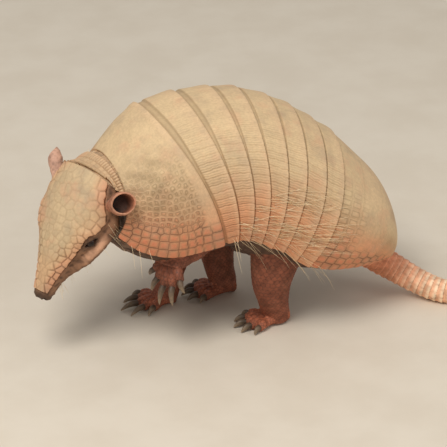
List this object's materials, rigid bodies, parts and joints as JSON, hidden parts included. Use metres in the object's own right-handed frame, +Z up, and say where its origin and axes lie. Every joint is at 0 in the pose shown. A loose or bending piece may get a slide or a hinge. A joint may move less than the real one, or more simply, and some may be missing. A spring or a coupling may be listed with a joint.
{
  "type": "six-banded armadillo",
  "caption": "Life-size armadillo standing with arched back and left fore paw raised, plated shell with bands, head bent down to feed, tail laid behind on the floor.",
  "frame": {"origin": "centre of the bounding box's footprint, on the floor under the animal", "axes": "+X towards the tail, so the animal faces -X; +Y towards its right side, so its left side is at -Y; +Z up from the floor"},
  "size_m": [0.5332, 0.1781, 0.2329],
  "materials": {
    "carapace": "dry horny scutes, dusty straw above and coral pink at the lower rim",
    "trunk_skin": "soft wrinkled belly skin",
    "head_skin": "dark wrinkled skin of snout, cheeks and lids",
    "head_plates": "dry irregular horny plates, tan with pink edges",
    "eye": "wet dark eye",
    "ear_skin": "thin red-brown skin with a pale pink rim",
    "neck_skin": "soft folded grey-brown skin",
    "nuchal_plates": "small dry plates with a pale rear rim",
    "tail_plates": "rings of pink and cream scutes",
    "leg_skin": "red-pink skin with small scales in rows",
    "claw": "smooth grey-brown horn"
  },
  "bodies": {
    "root": {"band_1": "carapace", "band_2": "carapace", "band_3": "carapace", "band_4": "carapace", "band_5": "carapace", "band_6": "carapace", "band_7": "carapace", "claw_leg_front_left_1": "claw", "claw_leg_front_left_2": "claw", "claw_leg_front_left_3": "claw", "claw_leg_front_left_4": "claw", "claw_leg_front_left_5": "claw", "claw_leg_front_right_1": "claw", "claw_leg_front_right_2": "claw", "claw_leg_front_right_3": "claw", "claw_leg_front_right_4": "claw", "claw_leg_front_right_5": "claw", "claw_leg_hind_left_1": "claw", "claw_leg_hind_left_2": "claw", "claw_leg_hind_left_3": "claw", "claw_leg_hind_left_4": "claw", "claw_leg_hind_left_5": "claw", "claw_leg_hind_right_1": "claw", "claw_leg_hind_right_2": "claw", "claw_leg_hind_right_3": "claw", "claw_leg_hind_right_4": "claw", "claw_leg_hind_right_5": "claw", "ear_left": "ear_skin", "ear_right": "ear_skin", "eye_left": "eye", "eye_right": "eye", "head": "head_skin", "head_shield": "head_plates", "leg_front_left": "leg_skin", "leg_front_right": "leg_skin", "leg_hind_left": "leg_skin", "leg_hind_right": "leg_skin", "neck": "neck_skin", "nuchal_band": "nuchal_plates", "pelvic_shield": "carapace", "shoulder_shield": "carapace", "tail": "tail_plates", "torso": "trunk_skin"}
  },
  "joints": []
}
